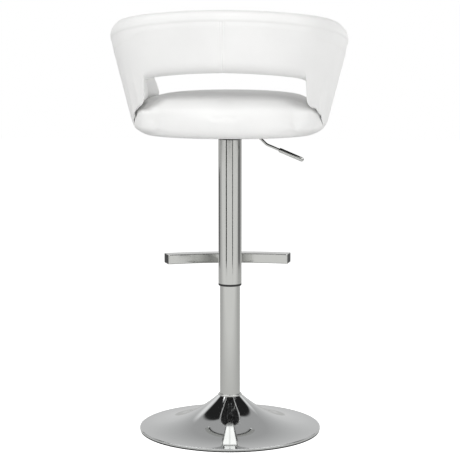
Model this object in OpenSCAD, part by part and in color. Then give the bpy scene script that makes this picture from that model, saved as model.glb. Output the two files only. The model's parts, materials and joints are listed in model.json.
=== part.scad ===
// Gas-lift swivel bar stool: trumpet base, telescoping column with a T footrest,
// round seat and a flared wrap-around back with a slot.
// +Z up, +Y the way the sitter faces, origin on the floor at the column's axis.

/* [Base] */
// Outside diameter of the trumpet base
base_d = 450; // [380:5:520]
// Height of the neck where the column enters
neck_z = 87; // [80:1:110]
// Radius of the neck
neck_r = 29.5; // [28:0.5:34]
// Steepness of the trumpet curve
trumpet_power = 2.2; // [1.8:0.1:3.2]
// Thickness of the spun steel
base_wall = 1.8; // [1.2:0.1:3]
// Height of the rim's upper edge above the floor
rim_z = 8; // [5:0.5:10]
// Thickness of the floor ring under the rim
floor_ring_h = 3; // [2:0.5:4.5]
// Thickness of the steel ballast disc
ballast_h = 8; // [6:0.5:10]

/* [Column] */
// Outside diameter of the column tube
column_d = 50; // [48:0.5:54]
// Wall of the column tube
column_wall = 2; // [1.5:0.1:3]
// Height of the column tube's top
column_top_z = 470; // [440:1:480]
// Length of the guide bush in the column's top
bush_len = 80; // [50:1:100]
// Running clearance of a guided tube, rod or pin, on the radius
run_gap = 0.05; // [0.02:0.01:0.1]
// Clearance between pieces that are assembled by hand, on each side
fit_gap = 0.3; // [0.15:0.05:0.4]
// Clearance of faces that are welded, pressed or glued together
weld_gap = 0.05; // [0.02:0.01:0.1]

/* [Gas spring] */
// Outside diameter of the gas cylinder
cylinder_d = 28; // [26:0.5:30]
// Wall of the gas cylinder
cylinder_wall = 1.5; // [1:0.1:2]
// Diameter of the piston rod
rod_d = 10; // [8:0.5:12]
// Travel of the seat, from the raised position down
lift_travel = 210; // [150:5:210]
// Diameter of the release pin
release_d = 6; // [5:0.5:8]
// How far the release pin stands out of the cylinder
release_stand = 6; // [4:0.5:7]

/* [Sleeve and footrest] */
// Outside diameter of the sleeve that carries the footrest
sleeve_d = 57.5; // [56:0.5:62]
// Wall of the sleeve
sleeve_wall = 1.5; // [1:0.1:2]
// Height of the sleeve's lower end, with the seat raised
sleeve_z = 364; // [340:1:380]
// Width of the footrest's crossbar along its centre line
footrest_w = 316; // [260:2:400]
// Distance from the column's axis to the crossbar's centre line
footrest_reach = 195; // [150:5:220]
// Height of the crossbar's section
footrest_h = 25; // [20:1:30]
// Depth of the crossbar's section
footrest_depth = 38; // [25:1:45]
// Height of the crossbar's centre above the floor
footrest_z = 404; // [395:1:420]
// Radius to which the crossbar is bowed
footrest_bow_r = 540; // [400:10:900]
// Wall of the footrest tubes
footrest_wall = 2; // [1.5:0.1:3]
// Angle at which the footrest stands to the seat
footrest_turn = 6; // [0:1:20]

/* [Seat] */
// Radius of the seat at its widest
seat_r = 222; // [200:1:235]
// Depth of the seat in front of the axis
seat_front = 234; // [215:1:245]
// Squareness of the seat's outline, 2 being round
seat_power = 2.25; // [2:0.05:2.6]
// Height of the seat's lower rim, raised
seat_rim_z = 740; // [736:1:742]
// Height of the seat's crown above its rim
seat_h = 100; // [90:1:110]
// Fullness of the seat's rounded upper edge
seat_edge_power = 3.5; // [2.5:0.1:4.5]
// How far the seat draws in at its lower rim
seat_tuck = 14; // [8:1:18]
// Thickness of the plywood seat board
board_t = 15; // [12:1:18]
// Width of the padding around the board's edge
board_margin = 22; // [20:1:30]

/* [Back] */
// How far the back's sides stand outside the seat, half way up the seat
side_stand = 23; // [21:1:30]
// How far the back's rear stands behind the seat, at the same level
rear_stand = 14; // [12:1:28]
// How far the arms' outline runs on before the seat, at the same level
front_stand = 34; // [30:1:50]
// Outward lean of the sides, per unit of height
side_flare = 0.255; // [0.18:0.005:0.3]
// Backward lean of the rear, per unit of height
rear_flare = 0.16; // [0.12:0.005:0.25]
// Squareness of the back's outline, 2 being round
back_power = 2.13; // [2:0.01:2.5]
// Height of the back's top edge above the seat's crown, at the rear
back_h = 201; // [170:1:220]
// How much lower the top edge is beside the axis
back_side_drop = 60; // [40:1:75]
// Further drop of the top edge at the front of the arms
back_front_drop = 64; // [30:1:70]
// Thickness of the padded back
back_t = 50; // [44:1:56]
// Thickness of the plywood shell in the back
core_t = 8; // [6:0.5:9]
// Height of the rounded top edge
back_edge_h = 26; // [18:1:32]
// Height of the slot's upper edge above the seat's crown
slot_h = 53; // [40:1:65]
// Angle from the rear at which the slot ends
slot_end = 47; // [40:1:52]
// Angle from the rear at which the arms end
arm_end = 128; // [118:1:132]
// Height of the arms' lower edge above the seat's rim
arm_lift = 4; // [2:0.5:8]

/* [Under the seat] */
// Side of the square mounting plate
plate_w = 140; // [130:1:180]
// Thickness of the mounting plate
plate_t = 3; // [2:0.5:4]
// Distance between the plate's bolts
plate_pitch = 110; // [100:1:120]
// Outside diameter of the taper socket
socket_d = 38; // [36:0.5:42]
// Length of the taper socket
socket_len = 46; // [40:1:48]
// Distance from the axis to the lever's pivot
pivot_x = 25; // [24:0.5:28]
// Diameter of the lever rod
lever_d = 6.5; // [5:0.5:8]
// Diameter of the lever's grip
grip_d = 11; // [9:0.5:13]
// Length of the grip
grip_len = 65; // [45:1:80]

/* [Hidden] */
$fn = 64;

chrome = [0.78, 0.79, 0.78];
steel = [0.55, 0.56, 0.57];
black = [0.1, 0.1, 0.11];
white = [0.93, 0.93, 0.92];
ply = [0.78, 0.64, 0.44];

base_r = base_d / 2;
column_r = column_d / 2;
column_in_r = column_r - column_wall;
ballast_z = 4;
ballast_top = ballast_z + ballast_h;
flange_t = 6;
flange_r = 44;
flange_bolt_r = 3;
flange_pcd_r = 35;
flange_head_h = 4;
foot_t = 8;
washer_t = 2.5;
ball_r = 2.4;
ball_gap = 0.1;
ball_count = 9;
ball_ring_r = 14;
cage_t = 2;
collar_t = 4;
foot_z = ballast_top + 2;
lower_washer_z = foot_z + foot_t;
balls_z = lower_washer_z + washer_t + ball_gap + ball_r;
upper_washer_z = balls_z + ball_r + ball_gap;
collar_z = upper_washer_z + washer_t;
buffer_z = collar_z + collar_t;
buffer_len = 30;
rod_r = rod_d / 2;
rod_foot_r = rod_r - 1;
clip_t = 1.5;
clip_z = foot_z - clip_t - 0.1;

cylinder_r = cylinder_d / 2;
cylinder_in_r = cylinder_r - cylinder_wall;
bush_z = column_top_z - bush_len;
bush_lip = 4;
cylinder_z = bush_z - 12;
cylinder_end_t = 3;
seal_t = 8;
piston_z = cylinder_z + cylinder_end_t + seal_t + 5;
piston_t = 12;
rod_top_z = piston_z + piston_t + 4;

plate_z = seat_rim_z + 2;
cover_t = 0.8;
cover_z = plate_z + plate_t;
board_z = cover_z + cover_t;
board_top = board_z + board_t;
socket_z = plate_z - socket_len - weld_gap;
socket_r = socket_d / 2;
cylinder_top_z = plate_z - 18;
taper_len = cylinder_top_z - socket_z;
taper_slope = 0.03;
head_z = socket_z;
release_travel_room = 4;
release_z = head_z + release_travel_room;
release_r = release_d / 2;
release_top = cylinder_top_z + release_stand;
tongue_t = 3;
tongue_w = 10;
pivot_z = release_top + fit_gap + tongue_t / 2 + 0.5;
pivot_r = 2.5;
hub_r = 5;
ear_t = 3;
ear_gap = 1;
hub_w = tongue_w + 4;
boss_r = 4.6;
boss_len = 20;
slot_w = tongue_w + 4;

sleeve_r = sleeve_d / 2;
sleeve_in_r = sleeve_r - sleeve_wall;
sleeve_top_z = plate_z - 16;
ring_lip = 5;
ring_skirt = 25;
upper_ring_h = 18;

lever_r = lever_d / 2;
grip_r = grip_d / 2;
lever_bend_r = 14;
lever_run = 70;
lever_drop_x = 90;
lever_drop_z = 19;
lever_slope = 22.7;

bolt_r = 4;
bolt_head_h = 5;
bolt_head_r = 7;
tee_r = 5;
tee_flange_r = 9;
tee_flange_t = 1.5;
block_h = 34;
block_w = 60;
block_len = 136;
block_x = seat_r - 44;
block_in = 5;
block_y = 20;
back_bolt_r = 3;
back_bolt_head_r = 6;
back_bolt_head_t = 2.5;
back_bolt_seat = 0.55 * core_t;
back_bolt_len = 34;
bolt_reach = back_bolt_len + 25;
back_bolt_rows = [-35, 75];
back_bolt_z = board_top + 17;

seat_top_z = seat_rim_z + seat_h;
seat_mid_z = seat_rim_z + 0.38 * seat_h;
back_half = seat_r + side_stand;
back_rear = seat_r + rear_stand;
back_front = seat_front + front_stand;
back_ref_z = seat_rim_z + 0.5 * seat_h;
back_top_z = seat_top_z + back_h;
slot_top_z = seat_top_z + slot_h;
slot_drop = 0.3 * slot_h;
arm_root_z = seat_top_z - 0.24 * seat_h;
arm_foot_z = seat_rim_z + arm_lift;
arm_past = 90;
arm_fall = 40;
pad_foot_h = back_edge_h;
core_inset = 18;
outer_share = 0.35;
core_mid = outer_share + core_t / back_t / 2;
arm_tuck = seat_tuck + 2;
arm_tuck_h = seat_mid_z - seat_rim_z - 7;
seat_edge_low = seat_top_z - 0.26 * seat_h;
seat_edge_high = seat_top_z - 0.04 * seat_h;
seat_clear = 0.9;
skin_gap = 0.3;
edge_room = 4;
end_turn = 13;
turn_end = 100;
turn_most = 17;
core_end = arm_end - end_turn - 1;
hem_in = 0.92;
hem_turn = 0.15;

// Radius of a rounded outline with half width a and depth b, t degrees from the rear
function plan_r(t, a, b, n) =
    pow(pow(abs(sin(t)) / a, n) + pow(abs(cos(t)) / b, n), -1 / n);
function smooth(x) = let (c = min(1, max(0, x))) c * c * (3 - 2 * c);
function mix(a, b, s) = a + (b - a) * s;
function polar(t, r, z) = [r * sin(t), -r * cos(t), z];

// Outline of the seat at its widest, drawn in by inset
function seat_outline(t, inset) =
    plan_r(t, seat_r - inset, (cos(t) > 0 ? seat_r : seat_front) - inset, seat_power);

// Outline of the seat at height z: fullest at seat_mid_z, rounded above, tucked in below
function seat_plan(t, z) =
    let (full = seat_outline(t, 0))
    z >= seat_mid_z
        ? full * pow(1 - pow(min(1, (z - seat_mid_z) / (seat_top_z - seat_mid_z)), seat_edge_power),
                     1 / seat_edge_power)
        : full - seat_tuck * pow((seat_mid_z - z) / (seat_mid_z - seat_rim_z), 3);

// Outside of the back at height z, drawn in under the arms
function back_outer(t, z) =
    let (h = z - back_ref_z, under = max(0, arm_foot_z + arm_tuck_h - z) / arm_tuck_h)
    plan_r(t, back_half + side_flare * h,
           (cos(t) > 0 ? back_rear + rear_flare * h : back_front + side_flare * h), back_power)
    - arm_tuck * pow(under, 2.7);
// Top and bottom edges of the back, t degrees from the rear
function back_top(t) =
    back_top_z - back_side_drop * pow(abs(t) / arm_past, 2)
    - back_front_drop * pow(max(0, abs(t) - arm_past) / arm_fall, 2);
function slot_edge(t) = slot_top_z - slot_drop * pow(t / slot_end, 2);
function arm_edge(t) =
    mix(arm_root_z, arm_foot_z, smooth((abs(t) - slot_end - 2) / 36));
function back_bottom(t) = mix(slot_edge(t), arm_edge(t), smooth((abs(t) - slot_end + 3) / 5));
// The slot's ends are cut straight through to the rear, so the inner face starts further round
function inner_turn(t) =
    sign(t) * (abs(t) < turn_end ? turn_most * pow(sin(180 * abs(t) / turn_end), 2) : 0);
// Where the arms' inner face clears the seat beside it
function seat_wall(t, z) = seat_clear + seat_plan(t, min(z, seat_mid_z));
// Thickness of the back: thin beside the seat, full above it
function back_depth(t, z) =
    let (beside = back_outer(t, z) - seat_wall(t, z))
    mix(beside, back_t, smooth((z - seat_edge_low) / (seat_edge_high - seat_edge_low)));
function core_face(t, z) = outer_share * back_depth(t, z);
// Arms close in a rounded end
function end_round(t) =
    let (e = max(0, abs(t) - arm_end + end_turn) / end_turn) max(0.06, sqrt(max(0, 1 - e * e)));
arm_end_z = mix(arm_foot_z, back_top(arm_end), 0.4);
// Edges of the padding, drawn together where an arm ends
function pad_top(t) = mix(arm_end_z, back_top(t), pow(end_round(t), 0.6));
function pad_bottom(t) = mix(arm_end_z, back_bottom(t), pow(end_round(t), 0.6));

// A point of the back: f is the depth as a share of the thickness, skin a set-back in millimetres
function back_point(t, f, skin, z) =
    let (u = t + inner_turn(t) * f, d = back_depth(u, z))
    polar(u, back_outer(u, z) - f * d - skin, z);
// The same, measured from the plywood's outer face
function core_point(t, inner, skin, z) =
    let (f = outer_share + (inner ? core_t / back_t : 0), u = t + inner_turn(t) * f)
    polar(u, back_outer(u, z) - core_face(u, z) - (inner ? core_t : 0) - skin, z);

back_steps = concat([for (t = [0:6:36]) t], [slot_end - 6],
                    [for (t = [slot_end - 3:1:slot_end + 2]) t], [slot_end + 4, slot_end + 8],
                    [for (t = [slot_end + 13:6:core_end - 4]) t],
                    [core_end, core_end + 0.6],
                    [for (a = [15:15:90]) core_end + 1 + end_turn * sin(a)]);
core_steps = [for (t = back_steps) if (t <= core_end) t];
function both_ways(s) = concat([for (i = [len(s) - 1:-1:1]) -s[i]], s);

// Joins sections of equal length into a closed solid; each section is a ladder of rungs,
// the first half of its points running up one side and the second half down the other.
// Every face is split the way it leans, so that lofts laid on each other split alike
module ladder_loft(sections) {
    n = len(sections[0]);
    m = len(sections);
    half = n / 2;
    skin = [for (i = [0:m - 2], j = [0:n - 1])
            let (k = (j + 1) % n, p = sections[i],
                 a = i * n + j, b = i * n + k, c = a + n, d = b + n,
                 rises = p[k][2] > p[j][2], right = i >= (m - 1) / 2)
            each rises == right ? [[a, b, d], [a, d, c]] : [[a, b, c], [b, d, c]]];
    first = [for (j = [0:half - 2]) [j, n - 1 - j, n - 2 - j, j + 1]];
    last = [for (f = first) [for (k = [3:-1:0]) f[k] + (m - 1) * n]];
    polyhedron([for (s = sections) for (p = s) p], concat(skin, first, last), convexity = 8);
}

// Joins rings around the axis, closed by a centre point at each end
module ring_loft(rings, low, high) {
    n = len(rings[0]);
    m = len(rings);
    skin = [for (i = [0:m - 2], j = [0:n - 1])
            let (k = (j + 1) % n)
            [i * n + j, (i + 1) * n + j, (i + 1) * n + k, i * n + k]];
    floor_fan = [for (j = [0:n - 1]) [n * m, j, (j + 1) % n]];
    top_fan = [for (j = [0:n - 1]) [n * m + 1, (m - 1) * n + (j + 1) % n, (m - 1) * n + j]];
    polyhedron(concat([for (r = rings) for (p = r) p], [low, high]),
               concat(skin, floor_fan, top_fan), convexity = 4);
}

// ---- base ----
function trumpet_z(r) =
    rim_z + (neck_z - rim_z) * pow((base_r - r) / (base_r - neck_r), trumpet_power);
function trumpet_r(z) =
    base_r - (base_r - neck_r) * pow((z - rim_z) / (neck_z - rim_z), 1 / trumpet_power);
function trumpet_slope(r) =
    atan(trumpet_power * (neck_z - rim_z) / (base_r - neck_r)
         * pow((base_r - r) / (base_r - neck_r), trumpet_power - 1));
trumpet_steps = [for (i = [0:26]) mix(base_r, neck_r, 1 - pow(1 - i / 26, 1.7))];

module base_trumpet() {
    top = [for (r = trumpet_steps) [r, trumpet_z(r)]];
    under = [for (i = [26:-1:0])
             let (r = trumpet_steps[i], a = trumpet_slope(r))
             [r - base_wall * sin(a), max(trumpet_z(r) - base_wall * cos(a), rim_z - base_wall)]];
    color(chrome)
    rotate_extrude($fn = 180)
    polygon(concat([[base_r - base_wall, floor_ring_h], [base_r, floor_ring_h]], top,
                   [for (p = under) if (p[0] < base_r - base_wall - 0.01) p],
                   [[base_r - base_wall, rim_z - base_wall]]));
}

module floor_ring() {
    color(black)
    rotate_extrude($fn = 180)
    union() {
        translate([base_r - 16, 0]) square([15, floor_ring_h - weld_gap]);
        translate([base_r - 16, 0]) square([13, rim_z - base_wall - weld_gap]);
    }
}

module ballast_disc() {
    r = trumpet_r(ballast_top + base_wall) - 0.6;
    color(steel)
    difference() {
        rotate_extrude($fn = 120)
        polygon([[0, ballast_z], [r, ballast_z], [r, ballast_top - 1.5], [r - 1.5, ballast_top],
                 [0, ballast_top]]);
        translate([0, 0, ballast_z - 1]) cylinder(r = 13, h = ballast_h + 2);
        for (a = [0:120:240]) rotate(a) translate([flange_pcd_r, 0, 0]) {
            translate([0, 0, ballast_z - 1]) cylinder(r = flange_bolt_r + 0.4, h = ballast_h + 2);
            translate([0, 0, ballast_z - 1]) cylinder(r = 7.5, h = flange_head_h + 1);
        }
    }
}

module neck_ring() {
    color(chrome)
    rotate_extrude($fn = 96)
    polygon([[column_r + fit_gap, neck_z - 10], [neck_r - base_wall - weld_gap, neck_z - 10],
             [neck_r - base_wall - weld_gap, neck_z + weld_gap], [neck_r, neck_z + weld_gap],
             [neck_r, neck_z + 2.5], [neck_r - 1.2, neck_z + 4], [column_r + fit_gap, neck_z + 4]]);
}

module column_tube() {
    color(chrome)
    translate([0, 0, ballast_top])
    difference() {
        cylinder(r = column_r, h = column_top_z - ballast_top, $fn = 96);
        translate([0, 0, -1]) cylinder(r = column_in_r, h = column_top_z, $fn = 96);
    }
}

module column_flange() {
    color(steel)
    translate([0, 0, ballast_top])
    difference() {
        cylinder(r = flange_r, h = flange_t);
        translate([0, 0, -1]) cylinder(r = column_r + weld_gap, h = flange_t + 2);
        for (a = [0:120:240]) rotate(a) translate([flange_pcd_r, 0, -1])
            cylinder(r = flange_bolt_r + 0.1, h = flange_t + 2);
    }
}

module flange_bolts() {
    color(steel)
    for (a = [0:120:240]) rotate(a) translate([flange_pcd_r, 0, ballast_z + 0.3]) {
        cylinder(r = 6, h = flange_head_h - 0.3, $fn = 6);
        cylinder(r = flange_bolt_r, h = ballast_h + flange_t - 0.3);
    }
}

module column_foot() {
    color(steel)
    translate([0, 0, foot_z])
    difference() {
        cylinder(r = column_in_r - weld_gap, h = foot_t);
        translate([0, 0, -1]) cylinder(r = rod_foot_r + run_gap, h = foot_t + 2);
    }
}

module guide_bush() {
    color(black)
    difference() {
        union() {
            translate([0, 0, bush_z]) cylinder(r = column_in_r - weld_gap, h = bush_len);
            translate([0, 0, column_top_z]) cylinder(r = column_r - 0.5, h = bush_lip);
        }
        translate([0, 0, bush_z - 1]) cylinder(r = cylinder_r + run_gap, h = bush_len + bush_lip + 2);
        translate([0, 0, bush_z - 1]) cylinder(r1 = cylinder_r + 3, r2 = cylinder_r, h = 4);
    }
}

// ---- thrust bearing and rod ----
module bearing_washer(z) {
    color(steel)
    translate([0, 0, z])
    difference() {
        cylinder(r = ball_ring_r + 5, h = washer_t);
        translate([0, 0, -1]) cylinder(r = rod_r + 1, h = washer_t + 2);
    }
}

module bearing_lower_washer() bearing_washer(lower_washer_z);
module bearing_upper_washer() bearing_washer(upper_washer_z);

module bearing_cage() {
    color([0.7, 0.6, 0.3])
    translate([0, 0, balls_z - cage_t / 2])
    difference() {
        cylinder(r = ball_ring_r + 4, h = cage_t);
        translate([0, 0, -1]) cylinder(r = rod_r + 2, h = cage_t + 2);
        for (i = [0:ball_count - 1]) rotate(i * 360 / ball_count)
            translate([ball_ring_r, 0, -1]) cylinder(r = ball_r + 0.12, h = cage_t + 2);
    }
}

module bearing_balls() {
    color(steel)
    for (i = [0:ball_count - 1]) rotate(i * 360 / ball_count)
        translate([ball_ring_r, 0, balls_z]) sphere(r = ball_r, $fn = 32);
}

module rod_clip() {
    color(steel)
    translate([0, 0, clip_z])
    difference() {
        cylinder(r = rod_foot_r + 4, h = clip_t);
        translate([0, 0, -1]) cylinder(r = rod_foot_r - 0.5, h = clip_t + 2);
        translate([0, -1.5, -1]) cube([rod_foot_r + 6, 3, clip_t + 2]);
    }
}

module piston_rod() {
    groove = weld_gap;
    color(chrome)
    rotate_extrude()
    polygon([[0, clip_z - 3], [rod_foot_r - 0.5, clip_z - 3], [rod_foot_r, clip_z - 2.5],
             [rod_foot_r, clip_z - groove], [rod_foot_r - 0.5 - groove, clip_z - groove],
             [rod_foot_r - 0.5 - groove, clip_z + clip_t + groove],
             [rod_foot_r, clip_z + clip_t + groove], [rod_foot_r, collar_z],
             [rod_r + 6, collar_z], [rod_r + 6, collar_z + collar_t], [rod_r, collar_z + collar_t],
             [rod_r, piston_z], [rod_r - 1.5, piston_z], [rod_r - 1.5, rod_top_z], [0, rod_top_z]]);
}

module rod_buffer() {
    color(black)
    translate([0, 0, buffer_z])
    difference() {
        union() {
            for (i = [0:2]) translate([0, 0, i * buffer_len / 3]) {
                cylinder(r1 = 10, r2 = 12, h = buffer_len / 6);
                translate([0, 0, buffer_len / 6]) cylinder(r1 = 12, r2 = 10, h = buffer_len / 6);
            }
        }
        translate([0, 0, -1]) cylinder(r = rod_r + fit_gap, h = buffer_len + 2);
    }
}

module piston() {
    color(black)
    difference() {
        translate([0, 0, piston_z + weld_gap]) cylinder(r = cylinder_in_r - run_gap, h = piston_t);
        translate([0, 0, piston_z - 1]) cylinder(r = rod_r - 1.5 + weld_gap, h = piston_t + 3);
        translate([0, 0, piston_z + piston_t / 2])
        rotate_extrude() translate([cylinder_in_r, 0]) circle(r = 1.2);
    }
}

// ---- gas cylinder ----
module gas_cylinder() {
    color([0.16, 0.16, 0.17])
    rotate_extrude($fn = 96)
    polygon([[rod_r + 0.6, cylinder_z], [cylinder_r - 1, cylinder_z], [cylinder_r, cylinder_z + 1],
             [cylinder_r, socket_z], [cylinder_r - taper_slope * taper_len, cylinder_top_z],
             [release_r + run_gap, cylinder_top_z], [release_r + run_gap, head_z + 1],
             [0, head_z + 1], [0, head_z - 8], [cylinder_in_r, head_z - 8],
             [cylinder_in_r, cylinder_z + cylinder_end_t], [rod_r + 0.6, cylinder_z + cylinder_end_t]]);
}

module rod_seal() {
    color(black)
    translate([0, 0, cylinder_z + cylinder_end_t + weld_gap])
    difference() {
        cylinder(r = cylinder_in_r - weld_gap, h = seal_t);
        translate([0, 0, -1]) cylinder(r = rod_r + run_gap, h = seal_t + 2);
    }
}

module release_pin() {
    color(chrome)
    rotate_extrude()
    polygon(concat([[0, release_z], [release_r, release_z], [release_r, release_top - 1]],
                   [for (a = [15:15:90]) [release_r - 1 + cos(a), release_top - 1 + sin(a)]],
                   [[0, release_top]]));
}

// ---- sleeve and footrest ----
module footrest_sleeve() {
    z = sleeve_z + ring_lip + weld_gap;
    color(chrome)
    difference() {
        translate([0, 0, z]) cylinder(r = sleeve_r, h = sleeve_top_z - z, $fn = 120);
        translate([0, 0, z - 1]) cylinder(r = sleeve_in_r, h = sleeve_top_z, $fn = 120);
    }
}

module sleeve_lower_ring() {
    color(black)
    rotate_extrude($fn = 96)
    polygon([[column_r + run_gap, sleeve_z], [sleeve_r - 1, sleeve_z], [sleeve_r, sleeve_z + 1],
             [sleeve_r, sleeve_z + ring_lip], [sleeve_in_r - weld_gap, sleeve_z + ring_lip],
             [sleeve_in_r - weld_gap, sleeve_z + ring_lip + ring_skirt],
             [column_r + run_gap, sleeve_z + ring_lip + ring_skirt]]);
}

module sleeve_upper_ring() {
    color(black)
    translate([0, 0, sleeve_top_z - upper_ring_h - 2])
    difference() {
        cylinder(r = sleeve_in_r - weld_gap, h = upper_ring_h);
        translate([0, 0, -1]) cylinder(r = socket_r + weld_gap, h = upper_ring_h + 2);
    }
}

module rounded_bar(depth, height, r) {
    hull()
    for (x = [-1, 1], y = [-1, 1])
        translate([x * (depth / 2 - r), y * (height / 2 - r)]) circle(r = r, $fn = 16);
}

bow_half_angle = asin(footrest_w / 2 / footrest_bow_r);
bow_y = footrest_reach - footrest_bow_r;

module footrest_place() rotate(footrest_turn) translate([0, 0, footrest_z]) children();

module bar_arc(trim, shrink) {
    translate([0, bow_y, 0])
    rotate(90 - bow_half_angle + trim)
    rotate_extrude(angle = 2 * (bow_half_angle - trim), $fn = 180)
    translate([footrest_bow_r, 0])
    square([footrest_depth - 2 * shrink, footrest_h - 2 * shrink], center = true);
}

cap_angle = 1.6;

module footrest_crossbar() {
    color(chrome)
    footrest_place()
    difference() {
        bar_arc(0, 0);
        bar_arc(-1, footrest_wall);
    }
}

module footrest_end_caps() {
    inner = footrest_wall + weld_gap;
    color(black)
    footrest_place()
    for (side = [-1, 1])
        translate([0, bow_y, 0])
        rotate(90 + side * (bow_half_angle - cap_angle / 2) - cap_angle / 2 + side * 0.02)
        rotate_extrude(angle = cap_angle, $fn = 180)
        translate([footrest_bow_r, 0])
        square([footrest_depth - 2 * inner, footrest_h - 2 * inner], center = true);
}

module footrest_stem() {
    stem_w = 34;
    wall = footrest_wall;
    far = footrest_bow_r - footrest_depth / 2 - weld_gap;
    color(chrome)
    footrest_place()
    intersection() {
        difference() {
            translate([-stem_w / 2, 0, -footrest_h / 2])
                cube([stem_w, footrest_reach, footrest_h]);
            translate([-stem_w / 2 + wall, -1, -footrest_h / 2 + wall])
                cube([stem_w - 2 * wall, footrest_reach + 2, footrest_h - 2 * wall]);
            translate([0, 0, -footrest_h]) cylinder(r = sleeve_r + weld_gap, h = 2 * footrest_h, $fn = 120);
        }
        translate([0, bow_y, -footrest_h]) cylinder(r = far, h = 2 * footrest_h, $fn = 180);
    }
}

// ---- plate, socket and lever ----
module plate_holes(r, z, h) {
    for (x = [-1, 1], y = [-1, 1])
        translate([x * plate_pitch / 2, y * plate_pitch / 2, z]) cylinder(r = r, h = h);
}

module mounting_plate() {
    color(black)
    difference() {
        translate([0, 0, plate_z])
        linear_extrude(plate_t)
        hull()
        for (x = [-1, 1], y = [-1, 1])
            translate([x * (plate_w / 2 - 12), y * (plate_w / 2 - 12)]) circle(r = 12, $fn = 32);
        plate_holes(bolt_r + 0.4, plate_z - 1, plate_t + 2);
    }
}

module taper_socket() {
    color(black)
    difference() {
        translate([0, 0, socket_z]) cylinder(r = socket_r, h = socket_len);
        translate([0, 0, socket_z])
            cylinder(r1 = cylinder_r + weld_gap, r2 = cylinder_r + weld_gap - taper_slope * taper_len,
                     h = taper_len);
        translate([0, 0, socket_z - 1])
            cylinder(r = cylinder_r - taper_slope * taper_len, h = socket_len + 2);
        translate([0, 0, cylinder_top_z - 0.01])
            cylinder(r = cylinder_r, h = socket_len);
        translate([0, -slot_w / 2, cylinder_top_z + 2]) cube([socket_d, slot_w, socket_len]);
    }
}

module lever_bracket() {
    x = socket_r + 0.6;
    ear_z = sleeve_top_z + 1;
    color(black)
    difference() {
        for (side = [-1, 1])
            translate([x, side * (hub_w / 2 + ear_gap + ear_t / 2) - ear_t / 2, ear_z])
            cube([2 * (pivot_x - x), ear_t, plate_z - ear_z - weld_gap]);
        translate([pivot_x, 0, pivot_z]) rotate([90, 0, 0])
            cylinder(r = pivot_r + weld_gap, h = 60, center = true);
    }
}

module lever_pin() {
    len = hub_w + 2 * ear_gap + 2 * ear_t;
    color(steel)
    translate([pivot_x, 0, pivot_z]) rotate([90, 0, 0]) {
        cylinder(r = pivot_r, h = len, center = true);
        for (side = [-1, 1]) translate([0, 0, side * (len / 2 + 0.8)])
            cylinder(r = pivot_r + 1.2, h = 1.4, center = true);
    }
}

// Corners of a path in the XZ plane, each rounded to bend_r by short steps
function corner(a, b, c, bend_r) =
    let (p = (a - b) / norm(a - b), q = (c - b) / norm(c - b),
         half = acos(p * q) / 2, cut = bend_r / tan(half), m = (p + q) / norm(p + q),
         centre = b + m * bend_r / sin(half), from = b + p * cut - centre, to = b + q * cut - centre)
    [for (k = [0:5]) let (w = from * (1 - k / 5) + to * k / 5) centre + w / norm(w) * bend_r];
function rounded_path(pts, bend_r) =
    concat([pts[0]], [for (i = [1:len(pts) - 2]) each corner(pts[i - 1], pts[i], pts[i + 1], bend_r)],
           [pts[len(pts) - 1]]);

// Round bar along such a path
module bent_bar(path, r, sides) {
    n = len(path);
    dir = [for (i = [0:n - 1])
           let (d = path[min(i + 1, n - 1)] - path[max(i - 1, 0)]) d / norm(d)];
    points = [for (i = [0:n - 1], k = [0:sides - 1])
              let (a = 360 * k / sides, u = r * cos(a), v = r * sin(a))
              [path[i][0] - dir[i][1] * u, v, path[i][1] + dir[i][0] * u]];
    skin = [for (i = [0:n - 2], k = [0:sides - 1])
            let (j = (k + 1) % sides)
            [i * sides + k, (i + 1) * sides + k, (i + 1) * sides + j, i * sides + j]];
    polyhedron(points, concat(skin, [[for (k = [0:sides - 1]) k]],
                              [[for (k = [sides - 1:-1:0]) (n - 1) * sides + k]]), convexity = 4);
}

lever_end = [lever_drop_x + grip_len * 1.42 * cos(lever_slope),
             pivot_z - lever_drop_z - grip_len * 1.42 * sin(lever_slope)];
lever_start_x = pivot_x + hub_r + weld_gap;
lever_corners = [[lever_start_x, pivot_z], [lever_run, pivot_z],
                 [lever_drop_x, pivot_z - lever_drop_z], lever_end];

module lever_tongue() {
    color(steel)
    difference() {
        union() {
            translate([pivot_x, 0, pivot_z]) rotate([90, 0, 0])
                cylinder(r = hub_r, h = hub_w, center = true);
            translate([-tongue_w / 2, -tongue_w / 2, release_top + fit_gap])
                cube([pivot_x + tongue_w / 2, tongue_w, tongue_t]);
            translate([pivot_x, 0, pivot_z]) rotate([0, 90, 0]) cylinder(r = boss_r, h = boss_len);
        }
        translate([pivot_x, 0, pivot_z]) rotate([90, 0, 0])
            cylinder(r = pivot_r + run_gap, h = 60, center = true);
        translate([lever_start_x - weld_gap, 0, pivot_z]) rotate([0, 90, 0])
            cylinder(r = lever_r + weld_gap, h = boss_len);
    }
}

module lever_rod() {
    color(chrome) bent_bar(rounded_path(lever_corners, lever_bend_r), lever_r, 24);
}

module lever_grip() {
    tip = 6;
    color(chrome)
    translate([lever_end[0], 0, lever_end[1]])
    rotate([0, 90 + lever_slope, 0])
    difference() {
        rotate_extrude($fn = 48)
        polygon(concat([[0, -grip_len + tip], [grip_r - 1, -grip_len + tip],
                        [grip_r, -grip_len + tip + 1]],
                       [for (a = [0:10:90]) [grip_r * cos(a), tip * sin(a)]]));
        translate([0, 0, -grip_len]) cylinder(r = lever_r + weld_gap, h = grip_len + weld_gap);
    }
}

module plate_bolts() {
    color(steel) {
        for (x = [-1, 1], y = [-1, 1])
            translate([x * plate_pitch / 2, y * plate_pitch / 2, plate_z - bolt_head_h])
            cylinder(r = bolt_head_r, h = bolt_head_h, $fn = 6);
        plate_holes(bolt_r, plate_z - 1, board_top - plate_z);
    }
}

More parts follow.
